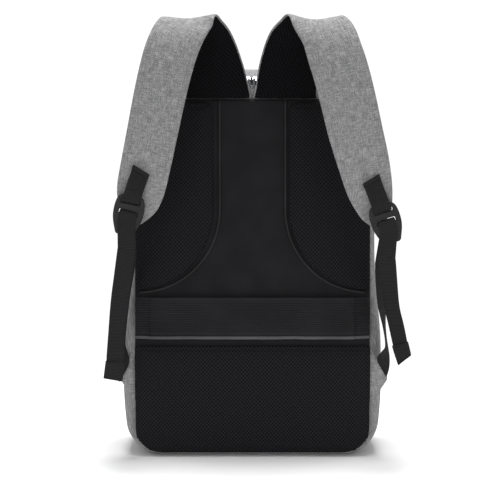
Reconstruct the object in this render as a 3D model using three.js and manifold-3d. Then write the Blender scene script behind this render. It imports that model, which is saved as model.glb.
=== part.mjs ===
// An anti-theft backpack that stands on its flat bottom, with its harness side toward -Y.
// Lengths are millimetres and +Z points up. The origin is the middle of the bottom, on the
// surface that the bag stands on.
import * as THREE from "three";
import { mergeVertices } from "three/addons/utils/BufferGeometryUtils.js";
import Module from "manifold-3d";

const wasm = await Module();
wasm.setup();

// Driving dimensions.
const gap = 0.3; // clearance between two pieces that touch
const quiltGap = 0.55; // clearance between a strap's cover and its mesh, on their curved faces
const wall = 3; // padded cloth wall of the body
const backY = -65; // plane of the body's rear rim
const panelHalf = 135.3; // half the width of the back panel
const panelBottom = 2.8;
const panelTop = 411;
const panelLowRadius = 30;
const panelHighRadius = 44;
const boardThick = 4;
const padThick = 8;
const padBevel = 2.6;
const channelHalf = 37.5; // half the width of the smooth channel, to the middle of its piping
const channelEnd = 285; // height where the channel's sides start to sweep outward
const padSweep = 91.5; // drop of the upper pads' swept edge from there
const pipingSweep = 95; // drop of the piping's sweep
const pipingRadius = 1.4;
const sleeveBottom = 136;
const sleeveTop = 184;
const lowerPadTop = 129;
const lowerPadHalf = 136.5;
const webbingWidth = 20;
const webbingThick = 1.6;
const hemThick = 3.6; // folded and sewn end of each free tail
const buckleTop = 19; // heights above and below the buckle's middle
const buckleBottom = 26;
const buckleThick = 4.5;
const hemSlope = 32; // slope of the hem that ends each tab, in degrees
const zipEnd = 330; // height where the zip stops on each side
const slotRear = -60; // the zip's slot lies between these two planes
const slotFront = -52;
const boardFace = backY - gap - boardThick;

// Half the width of the body at its widest section, by height.
const sideProfile = [
  { z: 0, half: 145 },
  { z: 65, half: 151 },
  { z: 110, half: 151 },
  { z: 145, half: 150 },
  { z: 180, half: 146.5 },
  { z: 225, half: 143.5 },
  { z: 300, half: 142.5 },
  { z: 460, half: 138.5 },
];

// Sections of the body from the rear rim to the front.
const bodySections = [
  { y: backY, inset: 8, bottom: 1.6, top: 420, lowRadius: 34, highRadius: 46 },
  { y: -62.5, inset: 5.5, bottom: 0.6, top: 425, lowRadius: 37, highRadius: 48 },
  { y: -56, inset: 3.2, bottom: 0, top: 432.5, lowRadius: 39, highRadius: 50 },
  { y: -46, inset: 1.4, bottom: 0, top: 439.5, lowRadius: 40, highRadius: 52 },
  { y: -28, inset: 0.4, bottom: 0, top: 445, lowRadius: 41, highRadius: 54 },
  { y: 0, inset: 0, bottom: 0, top: 447, lowRadius: 41, highRadius: 54 },
  { y: 28, inset: 0.8, bottom: 0, top: 444, lowRadius: 41, highRadius: 54 },
  { y: 46, inset: 3.5, bottom: 0, top: 436, lowRadius: 40, highRadius: 52 },
  { y: 57, inset: 9, bottom: 3, top: 425, lowRadius: 37, highRadius: 48 },
  { y: 62.5, inset: 18, bottom: 10, top: 409, lowRadius: 31, highRadius: 42 },
  { y: 65, inset: 34, bottom: 25, top: 382, lowRadius: 26, highRadius: 36 },
];

// The hollow: first the mouth that the back panel closes, then the inside of the walls.
const hollowSections = [
  { y: backY - 4, inset: 18, bottom: 14, top: 404, lowRadius: 24, highRadius: 36 },
  { y: backY + 3.5, inset: 18, bottom: 14, top: 404, lowRadius: 24, highRadius: 36 },
  { y: backY + 4.5, inset: 7.2, bottom: wall, top: 424, lowRadius: 34, highRadius: 44 },
  { y: -46, inset: 4.4, bottom: wall, top: 436, lowRadius: 37, highRadius: 49 },
  { y: 0, inset: 3, bottom: wall, top: 444, lowRadius: 38, highRadius: 51 },
  { y: 44, inset: 6.5, bottom: wall, top: 433, lowRadius: 37, highRadius: 49 },
  { y: 54, inset: 12.5, bottom: 6, top: 421, lowRadius: 34, highRadius: 45 },
  { y: 61, inset: 30, bottom: 20, top: 389, lowRadius: 28, highRadius: 38 },
];

// Middle line of each shoulder strap, from its root on the rear rim over the arch and down.
// up is the thickness of the grey cover and down that of the mesh padding under it.
const leftStrap = [
  { x: -40.2, y: -68.9, z: 411.4, width: 77.7, up: 2.9, down: 4 },
  { x: -41, y: -69, z: 419, width: 76, up: 3, down: 5 },
  { x: -44.5, y: -72.5, z: 440, width: 71, up: 4.2, down: 7 },
  { x: -50, y: -79, z: 462, width: 67, up: 4.6, down: 7.6 },
  { x: -57, y: -87, z: 478.5, width: 65, up: 4.8, down: 7.6 },
  { x: -64.5, y: -98, z: 488.8, width: 65, up: 4.8, down: 7.6 },
  { x: -71, y: -108, z: 495.3, width: 64, up: 4.8, down: 7.6 },
  { x: -76, y: -118, z: 490.8, width: 59.6, up: 4.8, down: 7.6 },
  { x: -83.3, y: -127, z: 478.6, width: 58.6, up: 4.8, down: 7.6 },
  { x: -90.4, y: -132.5, z: 461, width: 58.4, up: 4.8, down: 7.6 },
  { x: -96.3, y: -135, z: 440, width: 58, up: 4.8, down: 7.6 },
  { x: -103.2, y: -136.5, z: 410, width: 57.2, up: 4.8, down: 7.6 },
  { x: -110.3, y: -137, z: 375, width: 56.2, up: 4.6, down: 7.4 },
  { x: -117.6, y: -136, z: 340, width: 55.2, up: 4.4, down: 7 },
  { x: -123.6, y: -133.5, z: 312, width: 53.5, up: 4, down: 6 },
  { x: -126.9, y: -131, z: 295, width: 46.5, up: 3.4, down: 5 },
  { x: -129.3, y: -129, z: 284, width: 35, up: 2.8, down: 4 },
  { x: -130.9, y: -127.5, z: 276, width: 21, up: 2.2, down: 3 },
  { x: -132, y: -126.7, z: 271.5, width: 10, up: 1.6, down: 2 },
];
const rightStrap = [
  { x: 37.5, y: -68.9, z: 411.4, width: 75.1, up: 2.9, down: 4 },
  { x: 38.1, y: -69, z: 419, width: 71, up: 3, down: 5 },
  { x: 41, y: -72.5, z: 440, width: 70, up: 4.2, down: 7 },
  { x: 45.2, y: -79, z: 462, width: 66.8, up: 4.6, down: 7.6 },
  { x: 51.5, y: -87, z: 477, width: 66, up: 4.8, down: 7.6 },
  { x: 60, y: -98, z: 487.2, width: 66, up: 4.8, down: 7.6 },
  { x: 68, y: -108, z: 493.9, width: 66, up: 4.8, down: 7.6 },
  { x: 75, y: -118, z: 490.8, width: 61.6, up: 4.8, down: 7.6 },
  { x: 83.9, y: -127, z: 478.6, width: 61, up: 4.8, down: 7.6 },
  { x: 89.8, y: -132.5, z: 461, width: 61.7, up: 4.8, down: 7.6 },
  { x: 96.5, y: -135, z: 440, width: 62, up: 4.8, down: 7.6 },
  { x: 104.4, y: -136.5, z: 410, width: 61.5, up: 4.8, down: 7.6 },
  { x: 112.6, y: -137, z: 375, width: 60.3, up: 4.6, down: 7.4 },
  { x: 122, y: -136, z: 340, width: 57, up: 4.4, down: 7 },
  { x: 128.8, y: -133.5, z: 312, width: 51.5, up: 4, down: 6 },
  { x: 133.3, y: -131, z: 295, width: 43.7, up: 3.4, down: 5 },
  { x: 135.6, y: -129, z: 284, width: 35.5, up: 2.8, down: 4 },
  { x: 137.4, y: -127.5, z: 276, width: 25, up: 2.2, down: 3 },
  { x: 138.6, y: -126.6, z: 270, width: 14, up: 1.6, down: 2 },
];

// Each harness side: its buckle's middle and lean, the lean of its tab, and its webbing below
// the buckle. turn is the angle of the webbing's width to the X axis, seen from above, and slope
// is how far the width falls toward +X.
const sides = {
  left: {
    strap: leftStrap,
    buckle: { x: -137, y: -141.2, z: 286, lean: 12, tabLean: 19.3 },
    tension: [
      { x: -149, y: -69.5, z: 94, turn: 0, slope: -60 },
      { x: -150.3, y: -70.6, z: 107, turn: 12, slope: -30 },
      { x: -152.8, y: -73, z: 119, turn: 30, slope: -8 },
      { x: -154.3, y: -76, z: 135, turn: 38, slope: 0 },
      { x: -149.6, y: -92, z: 183, turn: 15, slope: 0 },
      { x: -140, y: -118, z: 233, turn: 6, slope: 0 },
    ],
    tail: [
      { x: -139, y: -144.6, z: 247, turn: 0, slope: 0 },
      { x: -143.6, y: -142, z: 214, turn: 4, slope: 0 },
      { x: -147.3, y: -139, z: 188, turn: 10, slope: 0 },
      { x: -151.2, y: -135, z: 150.6, turn: 24, slope: 0 },
      { x: -153.4, y: -132, z: 119, turn: 12, slope: 4 },
    ],
    hem: { x: -156.2, y: -130, z: 97.5, turn: 0, slope: 10 },
  },
  right: {
    strap: rightStrap,
    buckle: { x: 146.5, y: -141.2, z: 276.5, lean: -17, tabLean: -21.4 },
    tension: [
      { x: 149.5, y: -69.4, z: 100, turn: 0, slope: 60 },
      { x: 151, y: -71.6, z: 110, turn: 30, slope: 34 },
      { x: 152.8, y: -75, z: 121, turn: 62, slope: 12 },
      { x: 153.3, y: -77, z: 132, turn: 82, slope: 0 },
      { x: 150.5, y: -82, z: 155, turn: 78, slope: 0 },
      { x: 147.5, y: -94, z: 183, turn: 55, slope: 0 },
      { x: 146, y: -118, z: 228, turn: 20, slope: 0 },
    ],
    tail: [
      { x: 147, y: -146.8, z: 236, turn: -10, slope: 0 },
      { x: 150, y: -143.5, z: 210, turn: -26, slope: 0 },
      { x: 153.7, y: -139, z: 182, turn: -36, slope: 0 },
      { x: 159.2, y: -136, z: 159.5, turn: -38, slope: -6 },
      { x: 163.8, y: -134, z: 139, turn: -41, slope: -16 },
    ],
    hem: { x: 169.4, y: -131, z: 119.4, turn: -43, slope: -36 },
  },
};

// Materials, one for each kind of cloth, plastic and metal.
function material(color, roughness, metalness = 0) {
  return new THREE.MeshStandardMaterial({ color, roughness, metalness });
}
const melange = () => material("#8d8d8d", 0.95);
const mesh = () => material("#1b1b1d", 0.95);
const smoothCloth = () => material("#222224", 0.8);
const webbing = () => material("#2b2b2d", 0.85);
const plastic = () => material("#1a1a1c", 0.45);
const metal = () => material("#b9bbc0", 0.3, 1);

// Value of a column at a given key, straight between the rows of a table.
function readTable(rows, key, column, at) {
  const rising = rows[rows.length - 1][key] > rows[0][key];
  const ordered = rising ? rows : [...rows].reverse();
  const next = ordered.findIndex((row) => row[key] >= at);
  if (next < 0) return ordered[ordered.length - 1][column];
  if (next === 0) return ordered[0][column];
  const a = ordered[next - 1];
  const b = ordered[next];
  const share = (at - a[key]) / (b[key] - a[key]);
  return THREE.MathUtils.lerp(a[column], b[column], share);
}

// Rows of a table with smooth rows set between them, every column on a Catmull-Rom curve.
function smoothRows(rows, perGap) {
  const last = rows.length - 1;
  const made = [];
  for (let i = 0; i < last; i++) {
    const near = [rows[Math.max(i - 1, 0)], rows[i], rows[i + 1], rows[Math.min(i + 2, last)]];
    for (let k = 0; k < perGap; k++) {
      const t = k / perGap;
      const row = {};
      for (const column of Object.keys(rows[i])) {
        const [a, b, c, d] = near.map((r) => r[column]);
        const square = 2 * a - 5 * b + 4 * c - d;
        const cube = 3 * b - a - 3 * c + d;
        row[column] = 0.5 * (2 * b + (c - a) * t + square * t * t + cube * t * t * t);
      }
      made.push(row);
    }
  }
  made.push({ ...rows[last] });
  return made;
}

// A geometry with its shared corners merged and its faces outward.
function closed(geometry) {
  geometry.deleteAttribute("normal");
  geometry.deleteAttribute("uv");
  const merged = mergeVertices(geometry, 1e-3);
  const p = merged.attributes.position;
  const index = merged.index.array;
  const [a, b, c] = [new THREE.Vector3(), new THREE.Vector3(), new THREE.Vector3()];
  let volume = 0;
  for (let i = 0; i < index.length; i += 3) {
    a.fromBufferAttribute(p, index[i]);
    b.fromBufferAttribute(p, index[i + 1]);
    c.fromBufferAttribute(p, index[i + 2]);
    volume += a.dot(b.cross(c));
  }
  if (volume < 0) {
    for (let i = 0; i < index.length; i += 3) {
      [index[i + 1], index[i + 2]] = [index[i + 2], index[i + 1]];
    }
  }
  return merged;
}

// A closed solid through rings of points that turn left, each four-sided face split along its
// shorter diagonal, with the ends filled over the flat outline that is given.
function loft(rings, flat) {
  const count = rings[0].length;
  const points = rings.flat();
  const index = [];
  for (let r = 0; r < rings.length - 1; r++) {
    for (let i = 0; i < count; i++) {
      const j = (i + 1) % count;
      const [a, b] = [r * count + i, r * count + j];
      const [c, d] = [b + count, a + count];
      const alongAC = points[a].distanceTo(points[c]) <= points[b].distanceTo(points[d]);
      index.push(...(alongAC ? [a, b, c, a, c, d] : [a, b, d, b, c, d]));
    }
  }
  const end = (rings.length - 1) * count;
  const outline = flat.map(([u, v]) => new THREE.Vector2(u, v));
  for (const [a, b, c] of THREE.ShapeUtils.triangulateShape(outline, [])) {
    index.push(a, c, b, end + a, end + b, end + c);
  }
  const geometry = new THREE.BufferGeometry().setFromPoints(points).setIndex(index);
  return closed(geometry);
}

function solidOf(geometry) {
  const vertProperties = new Float32Array(geometry.attributes.position.array);
  const triVerts = new Uint32Array(geometry.index.array);
  return new wasm.Manifold(new wasm.Mesh({ numProp: 3, vertProperties, triVerts }));
}

function geometryOf(solid) {
  const made = solid.getMesh();
  const geometry = new THREE.BufferGeometry();
  const points = [];
  for (let i = 0; i < made.numVert; i++) {
    points.push(...made.vertProperties.subarray(i * made.numProp, i * made.numProp + 3));
  }
  geometry.setAttribute("position", new THREE.Float32BufferAttribute(points, 3));
  return geometry.setIndex(new THREE.BufferAttribute(new Uint32Array(made.triVerts), 1));
}

// A flat outline in X and Z given thickness toward -Y, from the plane y, with eased edges.
function plate(shape, y, thick, bevel = 0, curveSegments = 4) {
  const geometry = new THREE.ExtrudeGeometry(shape, {
    depth: thick - 2 * bevel,
    bevelEnabled: bevel > 0,
    bevelThickness: bevel,
    bevelSize: bevel,
    bevelOffset: -bevel,
    bevelSegments: 2,
    curveSegments,
  });
  geometry.translate(0, 0, bevel);
  geometry.rotateX(Math.PI / 2);
  geometry.translate(0, y, 0);
  return closed(geometry);
}

function roundedRectangle(left, bottom, right, top, lowRadius, highRadius = lowRadius) {
  const shape = new THREE.Shape();
  shape.moveTo(left + lowRadius, bottom);
  shape.absarc(right - lowRadius, bottom + lowRadius, lowRadius, -Math.PI / 2, 0);
  shape.absarc(right - highRadius, top - highRadius, highRadius, 0, Math.PI / 2);
  shape.absarc(left + highRadius, top - highRadius, highRadius, Math.PI / 2, Math.PI);
  shape.absarc(left + lowRadius, bottom + lowRadius, lowRadius, Math.PI, 1.5 * Math.PI);
  return shape;
}

// The body's outline at one section, moved inward by a distance.
const cornerSteps = 6;
const sideHeights = [65, 110, 145, 180, 225, 300];

function halfWidth(section, inward, z) {
  return readTable(sideProfile, "z", "half", z) - section.inset - inward;
}

function highCorner(section, inward) {
  const radius = section.highRadius - inward;
  const z = section.top - inward - radius;
  const x = halfWidth(section, inward, z) - radius;
  const points = [];
  for (let i = 0; i <= cornerSteps; i++) {
    const angle = (i / cornerSteps) * (Math.PI / 2);
    points.push([x + radius * Math.cos(angle), z + radius * Math.sin(angle)]);
  }
  return points;
}

function mirrored(points) {
  return [...points].reverse().map(([x, z]) => [-x, z]);
}

function bodyOutline(section, inward = 0) {
  const radius = section.lowRadius - inward;
  const bottom = section.bottom + inward;
  const cornerX = halfWidth(section, inward, bottom + radius) - radius;
  const right = [];
  for (let i = 0; i <= cornerSteps; i++) {
    const angle = (i / cornerSteps) * (Math.PI / 2);
    right.push([cornerX + radius * Math.sin(angle), bottom + radius - radius * Math.cos(angle)]);
  }
  for (const z of sideHeights) right.push([halfWidth(section, inward, z), z]);
  right.push(...highCorner(section, inward));
  return [...right, ...mirrored(right)];
}

function bodyLoft(sections) {
  const rings = sections.map((section) =>
    bodyOutline(section).map(([x, z]) => new THREE.Vector3(x, section.y, z)),
  );
  return loft(rings, bodyOutline(sections[0]));
}

// The body's section at any depth, straight between the rows of its table.
function sectionAt(y) {
  const section = { y };
  for (const column of ["inset", "bottom", "top", "lowRadius", "highRadius"]) {
    section[column] = readTable(bodySections, "y", column, y);
  }
  return section;
}

// An upside-down U that follows the body's edge between two planes and two inward distances.
function hoop(rearY, frontY, outer, inner, lowest) {
  const line = (y, inward) => {
    const section = sectionAt(y);
    const right = [[halfWidth(section, inward, lowest), lowest], ...highCorner(section, inward)];
    return [...right, ...mirrored(right)].map(([x, z]) => new THREE.Vector3(x, y, z));
  };
  const edges = [line(rearY, outer), line(frontY, outer), line(frontY, inner), line(rearY, inner)];
  const rings = edges[0].map((_, i) => edges.map((edge) => edge[i]));
  const flat = [
    [0, 0],
    [1, 0],
    [1, 1],
    [0, 1],
  ];
  return loft(rings, flat);
}

// A band along a line. Every row gives a middle point and the direction of the width, and may
// give the direction of the line itself. The width of a skewed row crosses the line at a slant.
// outlineOf turns a row's sizes into its section.
function bandFrames(rows) {
  return rows.map((row, i) => {
    const before = rows[Math.max(i - 1, 0)];
    const after = rows[Math.min(i + 1, rows.length - 1)];
    const chord = new THREE.Vector3().subVectors(after.point, before.point).normalize();
    const along = row.along ?? chord;
    const across = row.across.clone();
    if (!row.skewed) across.addScaledVector(along, -across.dot(along));
    across.normalize();
    const out = new THREE.Vector3().crossVectors(along, across).normalize();
    return { ...row, across, out };
  });
}

function band(rows, outlineOf) {
  const rings = bandFrames(rows).map((row) =>
    outlineOf(row).map(([u, v]) =>
      row.point.clone().addScaledVector(row.across, u).addScaledVector(row.out, v),
    ),
  );
  return loft(rings, outlineOf(rows[0]));
}

// Section of the grey cover: nearly flat on top, with edges that turn down to the mesh.
function coverOutline({ width, up }) {
  const h = width / 2;
  const low = quiltGap / 2;
  return [
    [-h, low],
    [0, low],
    [h, low],
    [h, 0.45 * up],
    [0.95 * h, 0.8 * up],
    [0.8 * h, up],
    [-0.8 * h, up],
    [-0.95 * h, 0.8 * up],
    [-h, 0.45 * up],
  ];
}

// Section of the mesh padding: a little narrower than the cover, with round lower edges.
function meshOutline({ width, down }) {
  const h = width / 2 - 1.5;
  const low = -quiltGap / 2;
  return [
    [-h, low],
    [-h, -0.5 * down],
    [-0.8 * h, -down],
    [0.8 * h, -down],
    [h, -0.5 * down],
    [h, low],
    [0, low],
  ];
}

// The strap's root stands upright on the rim, so that its seam is level, and eases from there
// to its own line.
const rootRows = 4;

function strapRows(table) {
  const rows = smoothRows(table, 2).map((row) => ({
    ...row,
    point: new THREE.Vector3(row.x, row.y, row.z),
    across: new THREE.Vector3(1, 0, 0),
  }));
  for (let i = 0; i < rootRows; i++) {
    const chord = new THREE.Vector3().subVectors(rows[i + 1].point, rows[Math.max(i - 1, 0)].point);
    rows[i].along = new THREE.Vector3(0, 0, 1).lerp(chord.normalize(), i / rootRows).normalize();
  }
  return rows;
}

function webbingOutline({ width, thick }) {
  return [
    [-width / 2, -thick / 2],
    [width / 2, -thick / 2],
    [width / 2, thick / 2],
    [-width / 2, thick / 2],
  ];
}

// A direction in X and Z that leans from upright by an angle in degrees.
function leaning(degrees) {
  const angle = THREE.MathUtils.degToRad(degrees);
  return new THREE.Vector3(Math.sin(angle), 0, Math.cos(angle));
}

// The direction of a width that turns about Z and falls toward +X, by angles in degrees.
function widthToward(turn, slope) {
  const [a, b] = [turn, slope].map(THREE.MathUtils.degToRad);
  return new THREE.Vector3(Math.cos(a) * Math.cos(b), Math.sin(a) * Math.cos(b), -Math.sin(b));
}

// A point beside a buckle: up along it, and out from its middle plane toward -Y.
function besideBuckle(buckle, up, out) {
  const point = new THREE.Vector3(buckle.x, buckle.y - out, buckle.z);
  point.addScaledVector(leaning(buckle.lean), up);
  const across = widthToward(0, buckle.lean);
  return { point, across, width: webbingWidth, thick: webbingThick };
}

function freeRow({ x, y, z, turn, slope }, width = webbingWidth, thick = webbingThick) {
  const across = widthToward(turn, slope);
  return { point: new THREE.Vector3(x, y, z), across, width, thick, skewed: slope !== 0 };
}

// Bars of the ladder lock, as heights from its middle.
const topBarLow = 13.5;
const slotHighLow = 9;
const slotLowHigh = 1.7;
const lipTop = -3;
const foldRadius = buckleThick / 2 + gap + webbingThick / 2;
const slotHalf = webbingWidth / 2 + 0.8;
const straightRun = 12; // how far below the middle the webbing follows the buckle's lean

// Half the buckle's width by height, from its top to its narrow lip.
const buckleEdge = [
  [8, buckleTop],
  [11, 18.2],
  [13.6, 16],
  [15.6, 12],
  [16.6, 6],
  [16.8, 0],
  [16.4, -6],
  [15, -12],
  [13.2, -17],
  [11.4, -21.5],
  [10, -24.6],
  [8, -buckleBottom],
];

function buckleGeometry() {
  const outline = [...mirrored(buckleEdge), ...buckleEdge];
  const frame = new THREE.Shape(outline.map(([x, z]) => new THREE.Vector2(x, z)));
  frame.holes.push(roundedRectangle(-slotHalf, slotHighLow, slotHalf, topBarLow, 1.2));
  frame.holes.push(roundedRectangle(-slotHalf, lipTop, slotHalf, slotLowHigh, 1.2));
  return plate(frame, buckleThick / 2, buckleThick, 0.8, 3);
}

// Y of the strap's outer face at a height on its front run.
function strapFace(table, z) {
  const frontRun = table.filter((row) => row.y < -108 && row.z < 490);
  return readTable(frontRun, "z", "y", z) - readTable(frontRun, "z", "up", z);
}

// A folded tab: from the strap's face down behind the top bar, round it, and up again. Above
// the bar it follows its own lean, and its width turns to the slope of the hem.
const tabHem = { low: 44.6, high: 48.6, thick: 3.2 };

function tabGeometry({ buckle, strap }) {
  const bar = new THREE.Vector3(buckle.x, 0, buckle.z);
  bar.addScaledVector(leaning(buckle.lean), topBarLow);
  const side = Math.sign(buckle.lean);
  const above = (up, outOf, width = webbingWidth, thick = webbingThick) => {
    const point = bar.clone().addScaledVector(leaning(buckle.tabLean), up - topBarLow);
    const share = THREE.MathUtils.clamp((up - buckleTop) / (tabHem.low - buckleTop), 0, 1);
    const slope = THREE.MathUtils.lerp(buckle.lean, side * hemSlope, share);
    const skew = THREE.MathUtils.degToRad(slope - buckle.tabLean);
    point.y = buckle.y - outOf(point.z);
    const across = widthToward(0, slope);
    return { point, across, width: width / Math.cos(skew), thick, skewed: true };
  };
  const onStrap = (layers, lift = 0) => {
    const standOff = 4 * gap + (layers - 0.5) * webbingThick + (layers - 1) * gap + lift;
    return (z) => buckle.y - strapFace(strap, z) + standOff;
  };
  const rows = [
    above(44, onStrap(1)),
    above(33, onStrap(1)),
    above(buckleTop + 1, () => -foldRadius),
  ];
  for (const degrees of [-90, -45, 0, 45, 90]) {
    const angle = THREE.MathUtils.degToRad(degrees);
    const up = topBarLow - foldRadius * Math.cos(angle);
    rows.push(besideBuckle(buckle, up, foldRadius * Math.sin(angle)));
  }
  rows.push(above(buckleTop + 1, () => foldRadius));
  rows.push(above(33, onStrap(2, 0.4)));
  rows.push(above(tabHem.low - 1.6, onStrap(2)));
  rows.push(above(tabHem.low, onStrap(2, 0.3), webbingWidth + 0.6, tabHem.thick));
  rows.push(above(tabHem.high, onStrap(2, 0.3), webbingWidth + 0.6, tabHem.thick));
  return band(rows, webbingOutline);
}

// The adjusting webbing: from its wing up behind the lip, over it, and down as the free tail.
function webbingGeometry({ buckle, tension, tail, hem }) {
  const rows = tension.map((row) => freeRow(row));
  const up = leaning(buckle.lean);
  rows.push({ ...besideBuckle(buckle, -straightRun, -foldRadius), along: up });
  for (const degrees of [-90, -50, 0, 50, 90]) {
    const angle = THREE.MathUtils.degToRad(degrees);
    const height = lipTop + foldRadius * Math.cos(angle);
    rows.push(besideBuckle(buckle, height, foldRadius * Math.sin(angle)));
  }
  rows.push({ ...besideBuckle(buckle, -straightRun, foldRadius), along: up.clone().negate() });
  rows.push(...tail.map((row) => freeRow(row)));
  const beforeHem = { ...tail[tail.length - 1], z: tail[tail.length - 1].z - 0.8 };
  rows.push(freeRow(beforeHem, webbingWidth + 1.5, hemThick));
  rows.push(freeRow(hem, webbingWidth + 1.5, hemThick));
  return band(rows, webbingOutline);
}

// The triangular wings that are sewn into the seams beside the back panel.
const wingThick = 2.5;
const wingInner = panelHalf + gap;
const wings = {
  left: [
    [-wingInner, 128],
    [-142.5, 112],
    [-153, 93],
    [-152.5, 88],
    [-146, 78],
    [-wingInner, 64],
  ],
  right: [
    [wingInner, 128],
    [143.5, 112],
    [155.5, 92],
    [155.5, 88],
    [147, 75],
    [wingInner, 62],
  ],
};

function wingGeometry(outline) {
  const shape = new THREE.Shape(outline.map(([x, z]) => new THREE.Vector2(x, z)));
  return plate(shape, backY - gap, wingThick);
}

// The J-shaped upper pad on the side of sign; its inner edge stands off the channel's piping.
function upperPadGeometry(sign, standOff) {
  const outer = panelHalf - 1;
  const inner = channelHalf + standOff;
  const sweepX = panelHalf - 5;
  const top = panelTop - 4;
  const corner = panelHighRadius - 2;
  const innerCorner = 8;
  const shape = new THREE.Shape();
  shape.moveTo(outer, channelEnd - padSweep);
  shape.lineTo(outer, top - corner);
  shape.absarc(outer - corner, top - corner, corner, 0, Math.PI / 2);
  shape.absarc(inner + innerCorner, top - innerCorner, innerCorner, Math.PI / 2, Math.PI);
  shape.absellipse(sweepX, channelEnd, sweepX - inner, padSweep, Math.PI, 1.5 * Math.PI);
  const geometry = plate(shape, boardFace - gap, padThick, padBevel);
  return sign > 0 ? geometry : closed(geometry.scale(-1, 1, 1));
}

// Piping beside the channel: straight down, then swept outward to the panel's side.
function pipingGeometry(sign) {
  const y = boardFace - gap - pipingRadius;
  const sweepX = panelHalf - 5;
  const points = [
    new THREE.Vector3(sign * channelHalf, y, panelTop - 1),
    new THREE.Vector3(sign * channelHalf, y, channelEnd + 65),
    new THREE.Vector3(sign * channelHalf, y, channelEnd + 25),
  ];
  const steps = 9;
  for (let i = 0; i <= steps; i++) {
    const angle = (i / steps) * (Math.PI / 2);
    const x = sweepX - (sweepX - channelHalf) * Math.cos(angle);
    points.push(new THREE.Vector3(sign * x, y, channelEnd - pipingSweep * Math.sin(angle)));
  }
  const section = new THREE.Shape();
  section.absarc(0, 0, pipingRadius, 0, 2 * Math.PI);
  const geometry = new THREE.ExtrudeGeometry(section, {
    steps: 26,
    curveSegments: 3,
    extrudePath: new THREE.CatmullRomCurve3(points),
  });
  return closed(geometry);
}

// The ribbed band over the trolley-handle pass-through: sewn down at both ends, free between,
// with a rolled hem along its lower edge.
const bandThick = 1.5;
const ribs = 8;
const ribPitch = 4.6;
const ribHigh = 1;
const hemHigh = 4.2;
const hemOut = 1.6;
const sleeveArch = [
  { x: 0.5 - panelHalf, out: gap },
  { x: -127, out: gap },
  { x: -119, out: 2.4 },
  { x: -111, out: 5.2 },
  { x: -60, out: 6 },
  { x: 0, out: 6.3 },
  { x: 60, out: 6 },
  { x: 111, out: 5.2 },
  { x: 119, out: 2.4 },
  { x: 127, out: gap },
  { x: panelHalf - 0.5, out: gap },
];

function sleeveGeometry() {
  const outline = [
    [sleeveBottom, 0],
    [sleeveTop, 0],
    [sleeveTop, bandThick],
  ];
  for (let i = 0; i < ribs; i++) {
    const z = sleeveTop - 3.5 - i * ribPitch;
    outline.push([z, bandThick], [z - ribPitch / 2, bandThick + ribHigh]);
  }
  outline.push([sleeveBottom + hemHigh, bandThick]);
  outline.push([sleeveBottom + 0.8 * hemHigh, bandThick + hemOut]);
  outline.push([sleeveBottom + 0.2 * hemHigh, bandThick + hemOut]);
  outline.push([sleeveBottom, bandThick + hemOut / 2]);
  const rings = sleeveArch.map(({ x, out }) =>
    outline.map(([z, o]) => new THREE.Vector3(x, boardFace - out - o, z)),
  );
  return loft(rings, outline);
}

// A zip slider on the slanted rear edge, and the pull that hangs from it over the rim.
const zipSlope = THREE.MathUtils.degToRad(44);
const sliders = {
  left: { x: -6.7, pullX: -4.2, lean: 6.5 },
  right: { x: 4.3, pullX: 1.8, lean: -3 },
};
const sliderHalf = [4.7, 3.7];
const pullSize = [2.8, 13.5];

function sliderGeometry({ x, pullX }) {
  const [long, wide] = sliderHalf;
  const foot = roundedRectangle(-long, -wide, long, wide, 2.4);
  const body = new THREE.ExtrudeGeometry(foot, {
    depth: 1.2,
    bevelThickness: 0.7,
    bevelSize: 0.7,
    bevelOffset: -0.7,
    bevelSegments: 1,
    curveSegments: 3,
  });
  body.translate(0, 0, 1.6);
  const bridge = new THREE.BoxGeometry(2, 4, 2.4).translate(pullX - x, 0.6, 3.6);
  const joined = solidOf(closed(body)).add(solidOf(closed(bridge)));
  const geometry = geometryOf(joined);
  return geometry.rotateX(zipSlope).translate(x, -56, 432.5);
}

function pullGeometry({ pullX, lean }) {
  const [wide, long] = pullSize;
  const shape = roundedRectangle(-wide / 2, -long, wide / 2, 0, 1.1);
  shape.holes.push(roundedRectangle(-0.5, 1 - long, 0.5, 4 - long, 0.45));
  const geometry = plate(shape, 0.6, 1.2, 0, 3);
  geometry.rotateY(THREE.MathUtils.degToRad(-lean)).rotateX(THREE.MathUtils.degToRad(-22));
  return closed(geometry.translate(pullX, -61.6, 434));
}

const backpack = new THREE.Group();

function addPiece(name, geometry, look) {
  const piece = new THREE.Mesh(geometry, look);
  piece.name = name;
  backpack.add(piece);
  return piece;
}

// The hollow body, with the slot that the zip lies in.
const bodySolid = solidOf(bodyLoft(bodySections))
  .subtract(solidOf(bodyLoft(hollowSections)))
  .subtract(solidOf(hoop(slotRear, slotFront, -8, 8, zipEnd)));
addPiece("bag_shell", geometryOf(bodySolid), melange());

// The zip in its slot.
const tape = hoop(slotRear + gap, slotFront - gap, 0.3, 2.1, zipEnd + gap);
addPiece("zip_tape", tape, smoothCloth());
addPiece("zip_coil", hoop(-57.3, -54.7, -0.6, 0.2, zipEnd + 3), plastic());
for (const [side, slider] of Object.entries(sliders)) {
  addPiece(`zip_slider_${side}`, sliderGeometry(slider), metal());
  addPiece(`zip_pull_${side}`, pullGeometry(slider), metal());
}

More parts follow.
